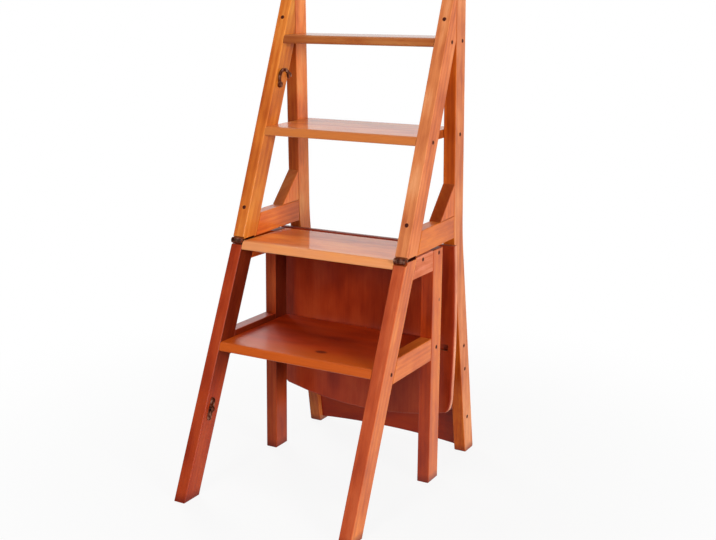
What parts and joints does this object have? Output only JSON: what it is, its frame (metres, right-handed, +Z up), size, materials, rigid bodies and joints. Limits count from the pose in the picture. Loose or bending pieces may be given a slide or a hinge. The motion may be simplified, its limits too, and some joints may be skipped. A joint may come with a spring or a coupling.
{
  "type": "folding step stool chair",
  "caption": "Wooden library chair that tips over on hinges at seat height to stand as a short step ladder, with a hinged seat panel and a hook latch.",
  "frame": {"origin": "on the floor, under the middle of the standing ladder", "axes": "+X across the width to the right as seen from the climbing side, +Y towards the back posts, +Z up"},
  "size_m": [0.392, 0.5126, 0.9087],
  "materials": {
    "frame_wood": "orange-brown varnish, semi-gloss",
    "seat_wood": "dark red-brown varnish, semi-gloss",
    "hinge_metal": "darkened bronze"
  },
  "bodies": {
    "base": {"lower_stile_left": "frame_wood", "lower_leg_left": "frame_wood", "lower_top_rail_left": "frame_wood", "lower_mid_rail_left": "frame_wood", "lower_stile_right": "frame_wood", "lower_leg_right": "frame_wood", "lower_top_rail_right": "frame_wood", "lower_mid_rail_right": "frame_wood", "fold_hinge_leaf_lower_left": "hinge_metal", "fold_hinge_leaf_lower_right": "hinge_metal", "fold_hinge_pin_left": "hinge_metal", "fold_hinge_pin_right": "hinge_metal", "step_1_lower": "frame_wood", "step_2_top": "frame_wood", "latch_keeper": "hinge_metal"},
    "upper": {"upper_stile_left": "frame_wood", "back_post_left": "frame_wood", "upper_rail_left": "frame_wood", "corner_brace_left": "frame_wood", "upper_stile_right": "frame_wood", "back_post_right": "frame_wood", "upper_rail_right": "frame_wood", "corner_brace_right": "frame_wood", "fold_hinge_leaf_upper_left": "hinge_metal", "fold_hinge_leaf_upper_right": "hinge_metal", "step_3": "frame_wood", "step_4_narrow": "frame_wood", "crest_rail": "frame_wood", "back_slat": "frame_wood", "seat_hinge_rail": "frame_wood", "seat_hinge_rail_leaf_left": "hinge_metal", "seat_hinge_rail_leaf_right": "hinge_metal", "seat_hinge_pin_left": "hinge_metal", "seat_hinge_pin_right": "hinge_metal", "latch_pivot": "hinge_metal"},
    "seat": {"seat_panel": "seat_wood", "seat_hinge_seat_leaf_left": "hinge_metal", "seat_hinge_seat_leaf_right": "hinge_metal"},
    "hook": {"latch_hook": "hinge_metal"}
  },
  "joints": [
    {"name": "fold", "type": "hinge", "parent": "base", "child": "upper", "pos_m": [0, -0.06685, 0.4503], "axis": [1, 0, 0], "range_deg": [0, 178]},
    {"name": "seat_hang", "type": "hinge", "parent": "upper", "child": "seat", "pos_m": [0, 0.12956, 0.44235], "axis": [1, 0, 0], "range_deg": [-90, 0]},
    {"name": "latch_swing", "type": "hinge", "parent": "upper", "child": "hook", "pos_m": [-0.15565, 0.06073, 0.73423], "axis": [1, 0, 0], "range_deg": [-233.8, 0]}
  ],
  "couplings": [
    {"joint": "seat_hang", "follows": "fold", "ratio": -0.5}
  ]
}
